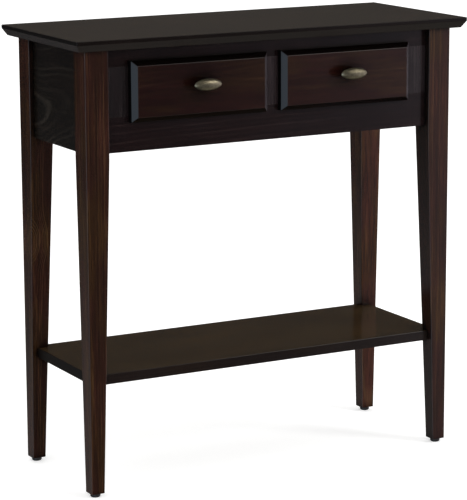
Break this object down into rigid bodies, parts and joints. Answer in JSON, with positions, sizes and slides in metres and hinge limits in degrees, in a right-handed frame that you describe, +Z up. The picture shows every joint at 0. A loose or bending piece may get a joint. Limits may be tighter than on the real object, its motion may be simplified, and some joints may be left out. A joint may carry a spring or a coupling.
{
  "type": "console table with drawers",
  "caption": "Narrow dark-stained wooden console table with side-by-side drawers, tapered legs and a low shelf; drawers slide out on wooden runners.",
  "frame": {"origin": "on the floor, at the middle of the overall box: midway between the tabletop's ends, and midway between the front of the knobs and the back edge of the tabletop", "axes": "+Z up, +X towards the right-hand end as seen from the front, -Y towards the front (drawers open towards -Y)"},
  "size_m": [0.74, 0.317, 0.762],
  "materials": {
    "stained_top": "dark espresso stain under satin lacquer",
    "stained_leg": "dark espresso stain under satin lacquer",
    "stained_frame": "dark espresso stain under satin lacquer",
    "stained_apron": "dark espresso stain under satin lacquer",
    "stained_shelf": "dark espresso stain under satin lacquer",
    "inner_wood": "bare planed softwood",
    "dowel_wood": "bare beech",
    "yellow_zinc": "yellow zinc plated",
    "zinc_steel": "bright zinc plated",
    "black_plastic": "matt black",
    "stained_front": "dark espresso stain under satin lacquer",
    "drawer_box_wood": "clear-sealed softwood",
    "plywood": "clear-sealed thin plywood",
    "antique_brass": "aged antique brass, satin"
  },
  "bodies": {
    "table": {"tabletop": "stained_top", "leg_front_left": "stained_leg", "leg_front_right": "stained_leg", "leg_rear_left": "stained_leg", "leg_rear_right": "stained_leg", "top_rail": "stained_frame", "bottom_rail": "stained_frame", "stile_left": "stained_frame", "stile_centre": "stained_frame", "stile_right": "stained_frame", "side_apron_left": "stained_apron", "side_apron_right": "stained_apron", "back_apron": "stained_apron", "lower_shelf": "stained_shelf", "runner_left": "inner_wood", "runner_centre": "inner_wood", "runner_right": "inner_wood", "kicker_left": "inner_wood", "kicker_right": "inner_wood", "stop_block_left": "inner_wood", "stop_block_right": "inner_wood", "corner_block_front_left": "inner_wood", "corner_block_front_right": "inner_wood", "corner_block_rear_left": "inner_wood", "corner_block_rear_right": "inner_wood", "top_cleat_left": "inner_wood", "top_cleat_right": "inner_wood", "frame_dowels": "dowel_wood", "wood_screws": "yellow_zinc", "hanger_bolts": "zinc_steel", "washers": "zinc_steel", "hex_nuts": "zinc_steel", "shelf_screws": "zinc_steel", "foot_glides": "black_plastic", "glide_nails": "zinc_steel"},
    "left_drawer": {"left_drawer_front": "stained_front", "left_drawer_side_outer": "drawer_box_wood", "left_drawer_side_inner": "drawer_box_wood", "left_drawer_back": "drawer_box_wood", "left_drawer_bottom": "plywood", "left_drawer_knob": "antique_brass", "left_drawer_knob_screw": "zinc_steel", "left_drawer_dowels": "dowel_wood", "left_drawer_screws": "yellow_zinc", "left_drawer_pins": "zinc_steel"},
    "right_drawer": {"right_drawer_front": "stained_front", "right_drawer_side_inner": "drawer_box_wood", "right_drawer_side_outer": "drawer_box_wood", "right_drawer_back": "drawer_box_wood", "right_drawer_bottom": "plywood", "right_drawer_knob": "antique_brass", "right_drawer_knob_screw": "zinc_steel", "right_drawer_dowels": "dowel_wood", "right_drawer_screws": "yellow_zinc", "right_drawer_pins": "zinc_steel"}
  },
  "joints": [
    {"name": "left_drawer_slide", "type": "slide", "parent": "table", "child": "left_drawer", "axis": [0, -1, 0], "range_m": [0, 0.15]},
    {"name": "right_drawer_slide", "type": "slide", "parent": "table", "child": "right_drawer", "axis": [0, -1, 0], "range_m": [0, 0.15]}
  ]
}
